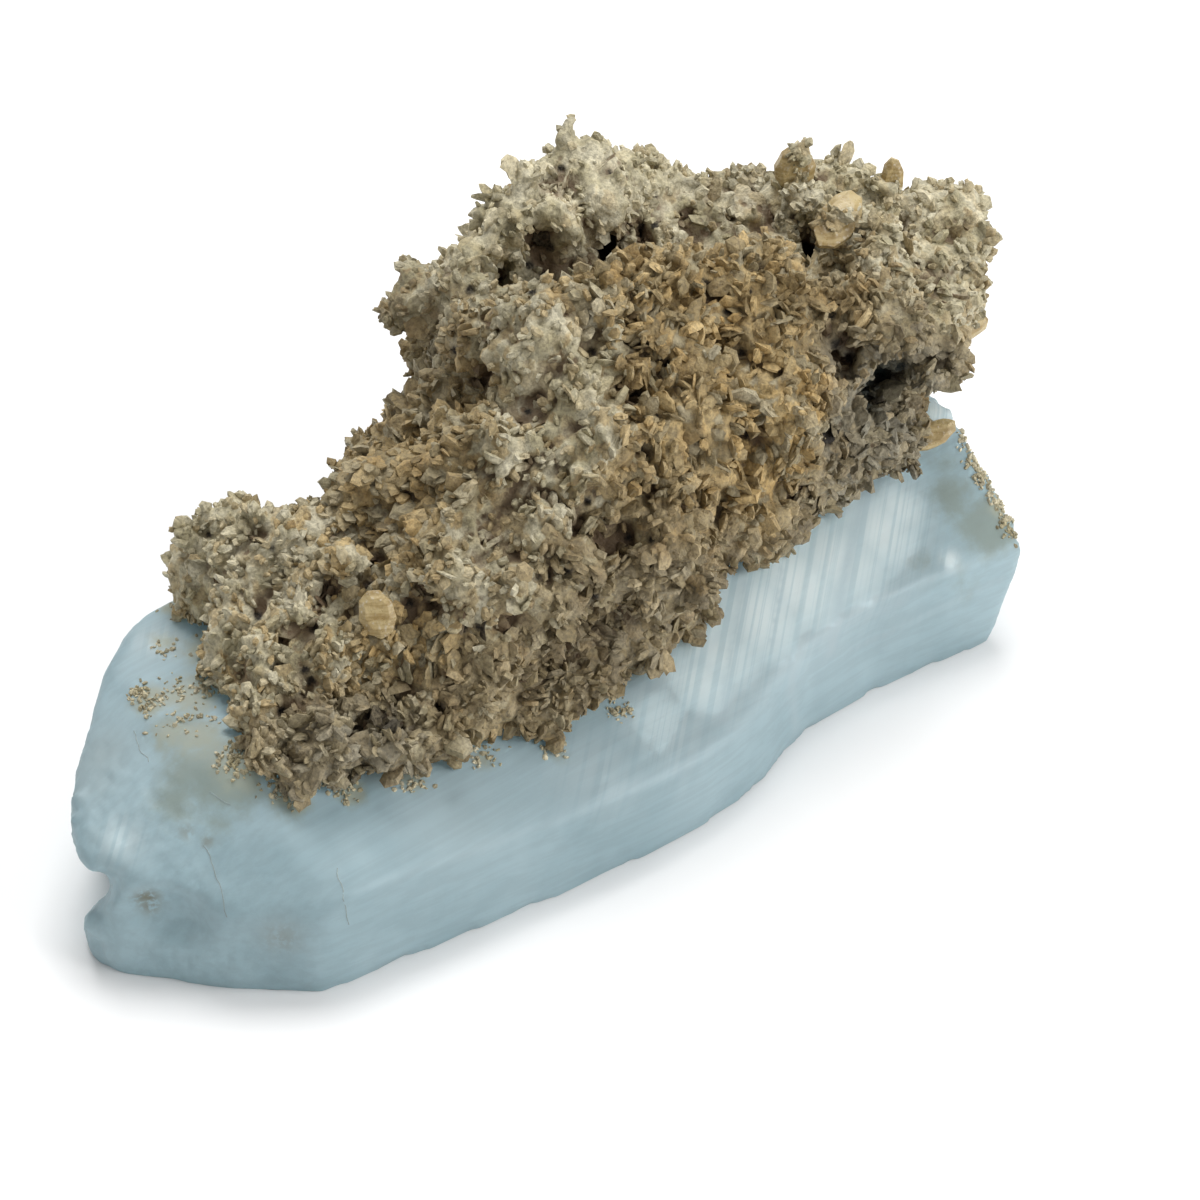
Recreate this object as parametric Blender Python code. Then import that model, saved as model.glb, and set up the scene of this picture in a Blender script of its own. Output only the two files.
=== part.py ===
"""Selenite slab: a thick clear gypsum crystal broken at both ends, with a crust of small blade crystals on it.

The slab lies on its flat cleavage face. X runs along the crystal, Y from the front to the back and Z up.
Lengths are written in millimetres, from the foot's front left corner, and turned into metres by MM.
At the end both pieces are moved so that the origin lies under the middle of the whole, on the foot.
"""

import math
import random

import bmesh
import bpy
from mathutils import Matrix, Vector, noise

MM = 0.001
SEED = 7
GAP = 0.35
SMOOTH_FACTOR = 0.5

# Slab: an upright prism, cleaved by sloping planes, with its rims worn round
SLAB_HEIGHT = 29.5
FRONT_FACE_HEIGHT = 15.0
BACK_FACE_HEIGHT = 14.0
FRONT_BEVEL_RUN = 27.0
BACK_BEVEL_RUN = 17.0
SLAB_FRONT = -5.0
SLAB_BACK = 74.0
SLAB_VOXEL = 1.3
SLAB_TRIANGLES = 1300
FOOT_TRIM = 0.4
SWELL_SIZE = 26.0
SWELL_HEIGHT = 0.9
FOOT_FADE = 6.0

# Wear of the rims: full at the left end, less and less towards the right one
WEAR_PASSES = 10
WEAR_AT_ORIGIN = 1.4
WEAR_RUN = 90.0
WEAR_LEAST = 0.3

# Ribs down the broken rim of the right end
RIB_START = 130.0
RIB_PITCH = 3.6
RIB_DEPTH = 1.1

# The outline of the slab's foot, seen from above, from the front left corner round to the back left one
FRONT_EDGE = [
    (0, -0.8), (20, -3), (37, -5.2), (55, -6.6), (67, -6.6), (78, -5), (87, -1.2), (93, 0.4), (107, 1.4),
    (118, 0.2),
]
RIGHT_END = [(144, -1.7), (152, 12), (153, 28), (149, 46), (138, 62)]
BACK_EDGE = [(118, 71), (88, 74.5), (58, 73), (32, 68)]
LEFT_END = [(10, 59), (-3, 51), (-13, 42), (-20, 33), (-23, 26), (-21, 21), (-12, 10)]

# Sloping breaks at the two ends: a point on each and the way it looks
END_BREAKS = [
    ((130, 0, 0), (1, 0, -0.36)),
    ((141, 27, 29.5), (1, 0.62, -0.1)),
    ((-18, 35, 22.5), (-0.42, 0.05, 1)),
    ((-2, 2, 16), (-0.5, -0.6, 1)),
]

# Hollows broken out of the slab's left end: centre and three radii
SLAB_HOLLOWS = [
    ((-25, 31, 13), (10.5, 9, 5.4)),
    ((-20, 44, 4), (10.5, 13, 11)),
    ((-20, 11, 13), (9, 10, 7)),
    ((-31, 37, 19), (9, 14, 6)),
]

# The cleft between the left end's two lobes: where it starts and ends, its three radii and its steps
CLEFT_START = (-25.4, 21.9, 18)
CLEFT_END = (-14.5, 40.5, -2)
CLEFT_RADII = (6.5, 2.7, 2.7)
CLEFT_STEPS = 9

# Lumps that the crust is grown from: centre x, y, z and radius
CAP_LUMPS = [
    (95.5, 60, 67, 11.5), (84, 60, 68, 10), (76, 61, 69, 9), (67, 60.5, 63, 8), (61, 61.5, 60, 4.2),
    (110, 60, 59, 10.5), (121, 55, 55, 9.5), (128, 48, 59.5, 8.5), (134, 44, 60, 7.5), (140.5, 36, 55, 8.5),
    (143, 28, 56, 8.2), (139, 21, 53, 8.5), (129, 18, 51, 9), (117, 18, 57, 8), (126, 27, 60, 9.5),
    (146.5, 28, 58, 4.5),
]
FACE_LUMPS = [
    (101, 28, 61, 12), (84.5, 32, 63, 13), (70, 34, 66, 11.5), (66.5, 44, 64, 9.5), (60, 50, 48, 9),
    (55, 30, 54, 10.5), (66, 23, 55, 12), (80, 20, 53, 12), (98, 17, 52, 11), (111, 15.5, 41, 8),
    (121, 16, 35, 7), (129, 22, 34, 6), (45, 40, 43, 10.5), (50, 48, 42, 7.5),
]
FOOT_LUMPS = [
    (42, 22, 43, 11.5), (53.5, 16, 42, 11.5), (70, 13, 40, 11.5), (86, 14, 39, 9.5), (101, 15, 36, 8.5),
    (40, 14, 31, 8.5), (47, 9.5, 25, 7), (57, 9.5, 26, 7), (67, 11, 28, 7.5), (77, 12, 29, 7), (111, 17, 31, 6.5),
    (94, 15, 30, 6.5), (34, 22, 33, 10), (30, 14, 27, 6.5), (37, 12.5, 26, 6), (22, 13.5, 26.5, 6),
]
LOBE_LUMPS = [
    (24, 50.5, 39, 9.5), (18.5, 53, 35, 8), (28, 42, 38, 11.5), (17, 38, 33.5, 9.5), (26, 30, 34, 11.5),
    (14, 29, 31, 8.5), (8.5, 22, 28, 7.5), (15, 18, 28, 8), (9.5, 15.5, 25.5, 5.5), (35, 47, 38.5, 8.5),
    (19, 58, 32, 5), (11, 32, 29.5, 6.5),
]
BACK_LUMPS = [
    (92, 46, 43, 24), (72, 46, 41, 19), (112, 42, 42, 20), (52, 42, 34, 15), (128, 36, 42, 15),
    (84, 64, 52, 13), (98, 66, 50, 13), (112, 62, 46, 13), (72, 62, 46, 12), (60, 58, 38, 11),
    (124, 54, 40, 13), (36, 42, 30, 14),
]
CRUST_VOXEL = 1.5
CRUST_TRIANGLES = 3700
SMOOTH_PASSES = 8
KNOB_SIZE = 12.0
KNOB_HEIGHT = 2.2
PIT_SIZE = 4.5
PIT_DEPTH = 0.8
KNOB_LEVEL = 0.5
SKIN_SINK = 0.3
SOCKET_SWELL = 1.5 * GAP

# Holes, the long slit over the foot and the recess under the right block: centre and three radii
CRUST_HOLLOWS = [
    ((80, 50, 70.5), (3.6, 3.2, 3)),
    ((92, 48.5, 65.5), (3, 3, 2.6)),
    ((119.5, 33, 62), (3.4, 3, 2.8)),
    ((68.5, 24, 70), (2.4, 2.6, 2)),
    ((58, 25, 63.5), (2.4, 2.4, 2.2)),
    ((73.8, 15, 61.5), (1.9, 2.6, 2.1)),
    ((113, 10, 36.5), (1.9, 2.4, 1.7)),
    ((23, 9.5, 33), (7, 4, 1.8)),
    ((10, 20.5, 35), (2.6, 3, 2)),
    ((16.5, 28.5, 39.5), (1.8, 3.4, 4.2)),
    ((117, 10.5, 50.5), (12, 6, 3.6)),
    ((66, 43, 70), (8, 3, 2.2)),
]

# Lens blades scattered over the crust
BLADE_COUNT = 72
BLADE_SPACING = 11.0
BLADE_LENGTH = (6.5, 10.0)
BLADE_WIDTH = (4.5, 6.5)
BLADE_THICKNESS = (1.5, 2.2)
BLADE_LOWEST = 29.0
BLADE_DOWNMOST = -0.4
BLADE_TRIES = 40
BLADE_STAND = 0.04
BLADE_LEAN = (15, 65)
BLADE_TWIST = 0.4
FLAT_SHARE = 0.55

# The left flank, where the blades lie like shingles: right of it, its foot and how far the blades turn
FLANK_EDGE = 56.0
FLANK_FOOT = 41.5
SHINGLE_TURN = 0.5

# Crystals that stand out singly: centre, size, long axis and the way the flat face looks
SINGLE_CRYSTALS = [
    ((28.5, 23, 42.5), (7.5, 5.4, 2.2), (0.1, 0.6, 0.8), (-0.5, -0.7, 0.6)),
    ((128, 48, 68.5), (8.5, 6, 3), (0.2, 0.1, 1), (-0.5, -0.85, 0.2)),
    ((122, 31, 67.5), (11, 6.5, 2.6), (0.9, 0.4, 0.3), (-0.3, -0.3, 1)),
    ((138, 37, 65), (7, 3.4, 2.2), (0.1, 0.1, 1), (-0.6, -0.8, 0.1)),
    ((138, 19.5, 47), (10, 5, 3.2), (1, -0.1, -0.25), (-0.2, -0.9, 0.5)),
    ((127, 13, 34.5), (8.5, 3.8, 2), (1, -0.2, 0.2), (-0.2, -0.6, 0.8)),
]

SLAB_FINISH = ("clear_gypsum", (0.56, 0.66, 0.68), 0.2)
CRUST_FINISH = ("tan_gypsum_blades", (0.30, 0.24, 0.15), 0.75)


def clear_scene():
    for obj in list(bpy.data.objects):
        bpy.data.objects.remove(obj)


def add_object(name, bm):
    mesh = bpy.data.meshes.new(name)
    bm.to_mesh(mesh)
    bm.free()
    obj = bpy.data.objects.new(name, mesh)
    bpy.context.scene.collection.objects.link(obj)
    return obj


def add_cutter(name, bm):
    cutter = add_object(name, bm)
    cutter.hide_render = True
    cutter.display_type = "WIRE"
    return cutter


def applied(obj):
    """The object with its modifiers made part of its mesh."""
    graph = bpy.context.evaluated_depsgraph_get()
    mesh = bpy.data.meshes.new_from_object(obj.evaluated_get(graph))
    obj.modifiers.clear()
    obj.data = mesh
    return obj


def joined(obj, other, operation):
    """The object with the other one, whose own pieces may overlap, added to it or taken from it."""
    change = obj.modifiers.new(other.name, "BOOLEAN")
    change.operation = operation
    change.use_self = True
    change.object = other
    return applied(obj)


def one_skin(obj, voxel):
    """The object remade as one even closed skin."""
    skin = obj.modifiers.new("one skin", "REMESH")
    skin.mode = "VOXEL"
    skin.voxel_size = voxel * MM
    return applied(obj)


def thinned(obj, triangles):
    """The object with flat facets, down to about that many triangles."""
    facets = obj.modifiers.new("facets", "DECIMATE")
    facets.ratio = min(1.0, triangles / (2 * len(obj.data.polygons)))
    return applied(obj)


def prism(bm, outline, height):
    """A closed upright prism over the outline, from z = 0."""
    foot = [bm.verts.new((x * MM, y * MM, 0)) for x, y in outline]
    top = bmesh.ops.extrude_face_region(bm, geom=[bm.faces.new(foot)])
    verts = [v for v in top["geom"] if isinstance(v, bmesh.types.BMVert)]
    bmesh.ops.translate(bm, verts=verts, vec=(0, 0, height * MM))
    bmesh.ops.recalc_face_normals(bm, faces=bm.faces)


def cleave(bm, point, normal):
    """Breaks off what lies beyond the plane and closes the break with a flat face."""
    cut = bmesh.ops.bisect_plane(
        bm,
        geom=bm.verts[:] + bm.edges[:] + bm.faces[:],
        plane_co=Vector(point) * MM,
        plane_no=Vector(normal).normalized(),
        clear_outer=True,
        dist=1e-7,
    )
    rim = [e for e in cut["geom_cut"] if isinstance(e, bmesh.types.BMEdge)]
    if rim:
        bmesh.ops.edgeloop_fill(bm, edges=rim)
    bmesh.ops.recalc_face_normals(bm, faces=bm.faces)


def cleft_places():
    """The hollows, one after another, that make up the cleft."""
    start = Vector(CLEFT_START)
    run = Vector(CLEFT_END) - start
    return [(start + run * step / (CLEFT_STEPS - 1), CLEFT_RADII) for step in range(CLEFT_STEPS)]


def ellipsoids(name, places, subdivisions):
    """A cutter of one rounded hollow at each place."""
    bm = bmesh.new()
    for centre, radii in places:
        place = Matrix.Translation(Vector(centre) * MM) @ Matrix.Diagonal((*radii, 1.0))
        bmesh.ops.create_icosphere(bm, subdivisions=subdivisions, radius=MM, matrix=place)
    return add_cutter(name, bm)


def push_verts(obj, shift):
    """Moves each point of the object's skin by shift(place, normal), in millimetres."""
    bm = bmesh.new()
    bm.from_mesh(obj.data)
    bm.normal_update()
    moves = [shift(vert.co / MM, vert.normal) * MM for vert in bm.verts]
    for vert, move in zip(bm.verts, moves):
        vert.co += move
    bm.to_mesh(obj.data)
    bm.free()


def slab_shift(place, normal):
    """A low swell that fades out at the foot, and ribs down the broken rim of the right end."""
    shift = normal * SWELL_HEIGHT * noise.noise(place / SWELL_SIZE) * min(1.0, place.z / FOOT_FADE)
    if place.x > RIB_START and place.z > FRONT_FACE_HEIGHT and normal.x > 0:
        shift.x -= RIB_DEPTH * abs(math.sin(math.pi * place.y / RIB_PITCH))
    return shift


def build_slab():
    bm = bmesh.new()
    prism(bm, FRONT_EDGE + RIGHT_END + BACK_EDGE + LEFT_END, SLAB_HEIGHT)
    rise = SLAB_HEIGHT - FRONT_FACE_HEIGHT
    cleave(bm, (0, SLAB_FRONT, FRONT_FACE_HEIGHT), (0, -rise, FRONT_BEVEL_RUN))
    rise = SLAB_HEIGHT - BACK_FACE_HEIGHT
    cleave(bm, (0, SLAB_BACK, BACK_FACE_HEIGHT), (0, rise, BACK_BEVEL_RUN))
    for point, way in END_BREAKS:
        cleave(bm, point, way)
    slab = add_object("selenite_slab", bm)
    joined(slab, ellipsoids("left end hollows", SLAB_HOLLOWS + cleft_places(), 3), "DIFFERENCE")
    one_skin(slab, SLAB_VOXEL)
    worn = slab.vertex_groups.new(name="worn")
    for vert in slab.data.vertices:
        place = vert.co / MM
        share = min(1.0, max(WEAR_LEAST, WEAR_AT_ORIGIN - place.x / WEAR_RUN)) * min(1.0, place.z / FOOT_FADE)
        worn.add([vert.index], max(0.0, share), "REPLACE")
    smooth = slab.modifiers.new("worn rims", "SMOOTH")
    smooth.factor = SMOOTH_FACTOR
    smooth.iterations = WEAR_PASSES
    smooth.vertex_group = worn.name
    applied(slab)
    push_verts(slab, slab_shift)
    thinned(slab, SLAB_TRIANGLES)
    bm = bmesh.new()
    bm.from_mesh(slab.data)
    cleave(bm, (0, 0, FOOT_TRIM), (0, 0, -1))
    bm.to_mesh(slab.data)
    bm.free()
    return slab


def crust_shift(place, normal):
    """Round knobs with creases between them, and small pits."""
    knob = noise.turbulence(place / KNOB_SIZE, 3, True) / KNOB_LEVEL - 1
    pit = noise.noise(place / PIT_SIZE)
    return normal * (KNOB_HEIGHT * knob + PIT_DEPTH * pit - SKIN_SINK)


def lens_blade(bm, centre, size, long_axis, face_way):
    """One flat lens crystal: a diamond rim with a smaller flat face on either side."""
    long_axis = Vector(long_axis).normalized()
    across = Vector(face_way).cross(long_axis).normalized()
    face_way = long_axis.cross(across)
    length, width, thickness = size
    rings = []
    for share, side in ((FLAT_SHARE, 0.5), (1.0, 0.0), (FLAT_SHARE, -0.5)):
        ring = []
        for quarter in range(4):
            angle = quarter * math.pi / 2
            place = Vector(centre)
            place += long_axis * math.cos(angle) * share * length / 2
            place += across * math.sin(angle) * share * width / 2
            place += face_way * side * thickness
            ring.append(bm.verts.new(place * MM))
        rings.append(ring)
    bm.faces.new(rings[0])
    bm.faces.new(reversed(rings[2]))
    for upper, lower in zip(rings, rings[1:]):
        for i in range(4):
            j = (i + 1) % 4
            bm.faces.new((upper[j], upper[i], lower[i], lower[j]))


def blade_places(crust, dice):
    """Seats for the scattered blades: spaced spots on the crust's skin and the skin's direction there."""
    taken = [Vector(centre) for centre, _, _, _ in SINGLE_CRYSTALS]
    seats = []
    faces = crust.data.polygons
    weights = [face.area for face in faces]
    for face in dice.choices(faces, weights, k=BLADE_TRIES * BLADE_COUNT):
        place = face.center / MM
        if len(seats) == BLADE_COUNT:
            break
        if place.z < BLADE_LOWEST or face.normal.z < BLADE_DOWNMOST:
            continue
        if min((place - other).length for other in taken) < BLADE_SPACING:
            continue
        taken.append(place)
        seats.append((place, face.normal.copy()))
    return seats


def build_blades(crust):
    """The larger blades, which stand out of the crust at all angles and lie like shingles on its left flank."""
    dice = random.Random(SEED)
    bm = bmesh.new()
    for centre, size, long_axis, face_way in SINGLE_CRYSTALS:
        lens_blade(bm, centre, size, long_axis, face_way)
    for place, outward in blade_places(crust, dice):
        level = outward.cross((0, 0, 1)).normalized()
        along = level.cross(outward)
        turn = dice.uniform(0, 2 * math.pi)
        lean = math.radians(dice.uniform(*BLADE_LEAN))
        side = level * math.cos(turn) + along * math.sin(turn)
        long_axis = outward * math.cos(lean) + side * math.sin(lean)
        face_way = outward.cross(side) + side * dice.uniform(-BLADE_TWIST, BLADE_TWIST)
        if place.x < FLANK_EDGE and place.z > FLANK_FOOT:
            long_axis = outward + level * dice.uniform(-SHINGLE_TURN, SHINGLE_TURN)
            face_way = Vector((0, 0, 1))
        size = (dice.uniform(*BLADE_LENGTH), dice.uniform(*BLADE_WIDTH), dice.uniform(*BLADE_THICKNESS))
        lens_blade(bm, place + outward * size[0] * BLADE_STAND, size, long_axis, face_way)
    bmesh.ops.recalc_face_normals(bm, faces=bm.faces)
    return add_cutter("loose blades", bm)


def build_crust(slab):
    bm = bmesh.new()
    for x, y, z, radius in CAP_LUMPS + FACE_LUMPS + FOOT_LUMPS + LOBE_LUMPS + BACK_LUMPS:
        place = Matrix.Translation(Vector((x, y, z)) * MM)
        bmesh.ops.create_icosphere(bm, subdivisions=2, radius=radius * MM, matrix=place)
    crust = add_object("blade_crust", bm)
    one_skin(crust, CRUST_VOXEL)
    smooth = crust.modifiers.new("blend", "SMOOTH")
    smooth.factor = SMOOTH_FACTOR
    smooth.iterations = SMOOTH_PASSES
    applied(crust)
    push_verts(crust, crust_shift)
    thinned(crust, CRUST_TRIANGLES)
    joined(crust, build_blades(crust), "UNION")
    joined(crust, ellipsoids("crust hollows", CRUST_HOLLOWS, 2), "DIFFERENCE")
    bm = bmesh.new()
    bm.from_mesh(slab.data)
    socket = add_cutter("socket", bm)
    swell = socket.modifiers.new("clearance", "DISPLACE")
    swell.strength = SOCKET_SWELL * MM
    swell.mid_level = 0
    applied(socket)
    return joined(crust, socket, "DIFFERENCE")


def set_finish(obj, finish):
    name, colour, roughness = finish
    material = bpy.data.materials.new(name)
    material.use_nodes = True
    shader = material.node_tree.nodes["Principled BSDF"]
    shader.inputs["Base Color"].default_value = (*colour, 1)
    shader.inputs["Roughness"].default_value = roughness
    shader.inputs["Metallic"].default_value = 0
    obj.data.materials.clear()
    obj.data.materials.append(material)


def centre_on_foot(objects):
    """Moves the pieces together so that the origin is under the middle of the whole."""
    places = [vert.co for obj in objects for vert in obj.data.vertices]
    lowest = Vector([min(place[axis] for place in places) for axis in range(3)])
    highest = Vector([max(place[axis] for place in places) for axis in range(3)])
    middle = (lowest + highest) / 2
    for obj in objects:
        obj.data.transform(Matrix.Translation((-middle.x, -middle.y, -lowest.z)))


clear_scene()
slab = build_slab()
crust = build_crust(slab)
set_finish(slab, SLAB_FINISH)
set_finish(crust, CRUST_FINISH)
centre_on_foot([slab, crust])
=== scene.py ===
import math

import bpy
import numpy as np
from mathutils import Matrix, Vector, noise
from mathutils.bvhtree import BVHTree
from mathutils.kdtree import KDTree


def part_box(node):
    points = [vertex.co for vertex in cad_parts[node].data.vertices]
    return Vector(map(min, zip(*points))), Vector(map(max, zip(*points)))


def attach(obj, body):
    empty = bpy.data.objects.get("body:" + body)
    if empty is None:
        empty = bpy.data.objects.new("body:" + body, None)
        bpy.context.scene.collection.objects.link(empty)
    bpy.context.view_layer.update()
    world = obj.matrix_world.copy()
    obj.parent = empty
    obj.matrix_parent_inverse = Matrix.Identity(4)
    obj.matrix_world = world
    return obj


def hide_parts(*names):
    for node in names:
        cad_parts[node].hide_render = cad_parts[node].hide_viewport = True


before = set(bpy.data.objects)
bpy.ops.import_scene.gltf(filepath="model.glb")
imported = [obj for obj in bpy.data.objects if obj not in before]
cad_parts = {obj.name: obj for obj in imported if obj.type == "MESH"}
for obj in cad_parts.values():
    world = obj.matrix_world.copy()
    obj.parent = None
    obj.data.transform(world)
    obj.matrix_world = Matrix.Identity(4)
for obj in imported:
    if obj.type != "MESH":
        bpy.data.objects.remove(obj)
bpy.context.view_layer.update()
mm = 0.001
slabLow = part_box("selenite_slab")[0]
corner = slabLow + Vector((22.81, 6.79, -0.4)) * mm  # the foot's front left corner
floorLevel = slabLow.z
hillFall = 1.4  # how fast a mark, lump or hole fades past its radius


def at(x, y, z):  # a place counted in mm from the foot's front left corner
    return corner + Vector((x, y, z)) * mm


# Mesh helpers


def deselectAll():
    for other in bpy.context.selected_objects:
        other.select_set(False)


def makeActive(thing):
    deselectAll()
    thing.select_set(True)
    bpy.context.view_layer.objects.active = thing


def startEdit(kind="VERT", action="SELECT"):
    bpy.ops.object.mode_set(mode="EDIT")
    bpy.ops.mesh.select_mode(type=kind)
    bpy.ops.mesh.select_all(action=action)


def endEdit():
    bpy.ops.object.mode_set(mode="OBJECT")


def newObject(name, data):
    thing = bpy.data.objects.new(name, data)
    bpy.context.scene.collection.objects.link(thing)
    return thing


def applyAll(thing):
    makeActive(thing)
    for name in [modifier.name for modifier in thing.modifiers]:
        bpy.ops.object.modifier_apply(modifier=name)


def duplicate(thing, name):
    return newObject(name, thing.data.copy())


def mergedCopy(node, name):  # a copy of a CAD node whose loose triangles are joined up
    thing = duplicate(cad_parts[node], name)
    thing.data.materials.clear()
    makeActive(thing)
    startEdit()
    bpy.ops.mesh.remove_doubles(threshold=0.01 * mm)
    endEdit()
    return thing


def remesh(thing, voxel):
    skin = thing.modifiers.new("skin", "REMESH")
    skin.mode = "VOXEL"
    skin.voxel_size = voxel
    applyAll(thing)


def relax(thing, passes, factor=0.5):
    smooth = thing.modifiers.new("relax", "SMOOTH")
    smooth.factor = factor
    smooth.iterations = passes
    applyAll(thing)


def pointsOf(mesh):
    flat = np.empty(len(mesh.vertices) * 3, np.float32)
    mesh.vertices.foreach_get("co", flat)
    return flat.reshape(-1, 3).astype(float)


def normalsOf(mesh):
    flat = np.empty(len(mesh.vertices) * 3, np.float32)
    mesh.vertex_normals.foreach_get("vector", flat)
    return flat.reshape(-1, 3).astype(float)


def setPoints(mesh, points):
    mesh.vertices.foreach_set("co", points.astype(np.float32).ravel())
    mesh.update()


def setValues(mesh, **columns):
    for name, values in columns.items():
        layer = mesh.attributes.get(name) or mesh.attributes.new(name, "FLOAT", "POINT")
        layer.data.foreach_set("value", np.asarray(values, np.float32))


def trianglesOf(mesh):
    mesh.calc_loop_triangles()
    corners = np.empty(len(mesh.loop_triangles) * 3, np.int32)
    mesh.loop_triangles.foreach_get("vertices", corners)
    return corners.reshape(-1, 3).astype(int)


def unit(vectors):
    return vectors / np.maximum(np.linalg.norm(vectors, axis=-1, keepdims=True), 1e-12)


def wavesAt(points, size, seed=0.0, octaves=1):  # smooth noise of about -1 to 1, in lumps of that size
    shift = Vector((seed * 3.7, seed * 1.3, seed * 2.1))
    if octaves == 1:
        return np.array([noise.noise(Vector(point) / size + shift) for point in points])
    return np.array([noise.fractal(Vector(point) / size + shift, 1.0, 2.0, octaves) for point in points])


def treeOf(points):
    tree = KDTree(len(points))
    for index, point in enumerate(points):
        tree.insert(point, index)
    tree.balance()
    return tree


def hillAt(points, centre, radius):  # 1 at the centre, falling smoothly to 0 past the radius in mm
    if centre is None:
        return np.zeros(len(points))
    away = np.linalg.norm(points - np.array(centre), axis=1) / (radius * mm)
    return np.exp(-hillFall * away * away)


def hill(points, centre, radius):
    return hillAt(points, at(*centre), radius)


def scatterOn(mesh, count, dice):  # random spots spread evenly over the mesh, with the way the surface faces
    points = pointsOf(mesh)
    triangles = trianglesOf(mesh)
    a, b, c = (points[triangles[:, side]] for side in range(3))
    cross = np.cross(b - a, c - a)
    area = np.linalg.norm(cross, axis=1)
    picks = dice.choice(len(triangles), count, p=area / area.sum())
    u, v = dice.random(count), dice.random(count)
    over = u + v > 1
    u[over], v[over] = 1 - u[over], 1 - v[over]
    spots = a[picks] + (b - a)[picks] * u[:, None] + (c - a)[picks] * v[:, None]
    return spots, unit(cross[picks])


def finishPiece(piece, material, nodes=()):
    piece.data.materials.clear()
    piece.data.materials.append(material)
    if nodes:
        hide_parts(*nodes)
    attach(piece, "root")
    print(piece.name, len(trianglesOf(piece.data)), "triangles")


# Node helpers for the materials


def newMaterial(name):
    material = bpy.data.materials.new(name)
    material.use_nodes = True
    tree = material.node_tree
    return material, tree, tree.nodes["Principled BSDF"]


def addNode(tree, kind, **settings):
    node = tree.nodes.new(kind)
    for key, value in settings.items():
        if key.startswith("in_"):
            node.inputs[key[3:].replace("_", " ")].default_value = value
        else:
            setattr(node, key, value)
    return node


def objectPlace(tree, centre=(0, 0, 0), turn=(0, 0, 0), scale=(1, 1, 1)):
    coordinates = addNode(tree, "ShaderNodeTexCoord")
    mapping = addNode(tree, "ShaderNodeMapping", vector_type="TEXTURE")
    mapping.inputs["Location"].default_value = centre
    mapping.inputs["Rotation"].default_value = [math.radians(angle) for angle in turn]
    mapping.inputs["Scale"].default_value = scale
    tree.links.new(coordinates.outputs["Object"], mapping.inputs["Vector"])
    return mapping.outputs["Vector"]


def cloud(tree, place, scale, detail=4.0, roughness=0.6):
    texture = addNode(tree, "ShaderNodeTexNoise", in_Scale=scale, in_Detail=detail, in_Roughness=roughness)
    tree.links.new(place, texture.inputs["Vector"])
    return texture.outputs["Fac"]


def spread(tree, value, low, high, toLow=0.0, toHigh=1.0):
    node = addNode(tree, "ShaderNodeMapRange", interpolation_type="SMOOTHSTEP")
    for name, number in (("From Min", low), ("From Max", high), ("To Min", toLow), ("To Max", toHigh)):
        node.inputs[name].default_value = number
    tree.links.new(value, node.inputs["Value"])
    return node.outputs["Result"]


def reckon(tree, operation, first, second):
    node = addNode(tree, "ShaderNodeMath", operation=operation)
    for socket, value in zip(node.inputs, (first, second)):
        if isinstance(value, (int, float)):
            socket.default_value = value
        else:
            tree.links.new(value, socket)
    return node.outputs["Value"]


def times(tree, first, second):
    return reckon(tree, "MULTIPLY", first, second)


def mixed(tree, share, first, second, blend="MIX"):
    node = addNode(tree, "ShaderNodeMix", data_type="RGBA", blend_type=blend)
    for socket, value in ((node.inputs[0], share), (node.inputs[6], first), (node.inputs[7], second)):
        if isinstance(value, tuple):
            socket.default_value = (*value, 1.0)
        elif isinstance(value, float):
            socket.default_value = value
        else:
            tree.links.new(value, socket)
    return node.outputs[2]


def values(tree, name):
    return addNode(tree, "ShaderNodeAttribute", attribute_name=name).outputs["Fac"]


def bumped(tree, shader, height, distance, strength=1.0):
    bump = addNode(tree, "ShaderNodeBump", in_Strength=strength, in_Distance=distance)
    tree.links.new(height, bump.inputs["Height"])
    tree.links.new(bump.outputs["Normal"], shader.inputs["Normal"])


# Camera

cameraSet = {
    "azimuth": -37.8,
    "elevation": 40.0,
    "distance": 775,
    "lens": 150.0,
    "sensor": 36.0,
    "photoWidth": 1200,
    "clip": (0.01, 20.0),
    "target": (75.49, 30.5, 16.0),
}


def makeCamera():
    data = bpy.data.cameras.new("photoCamera")
    camera = newObject("photoCamera", data)
    turn = math.radians(cameraSet["azimuth"])
    rise = math.radians(cameraSet["elevation"])
    back = Vector((math.sin(turn) * math.cos(rise), -math.cos(turn) * math.cos(rise), math.sin(rise)))
    camera.location = at(*cameraSet["target"]) + back * cameraSet["distance"] * mm
    camera.rotation_euler = (-back).to_track_quat("-Z", "Y").to_euler()
    data.lens = cameraSet["lens"]
    data.sensor_width = cameraSet["sensor"]
    data.clip_start, data.clip_end = cameraSet["clip"]
    bpy.context.scene.camera = camera
    print("camera ready")


def seenAt(spot, surface):  # the place on a surface that shows at a pixel of the photograph, or None
    camera = bpy.context.scene.camera
    turn = camera.rotation_euler.to_matrix()
    half = cameraSet["photoWidth"] / 2
    across = (Vector((spot[0] - half, half - spot[1])) / cameraSet["photoWidth"]) * cameraSet["sensor"]
    way = turn @ Vector((across.x, across.y, -cameraSet["lens"]))
    return surface.ray_cast(camera.location, way.normalized())[0]


# Clear slab

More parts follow.
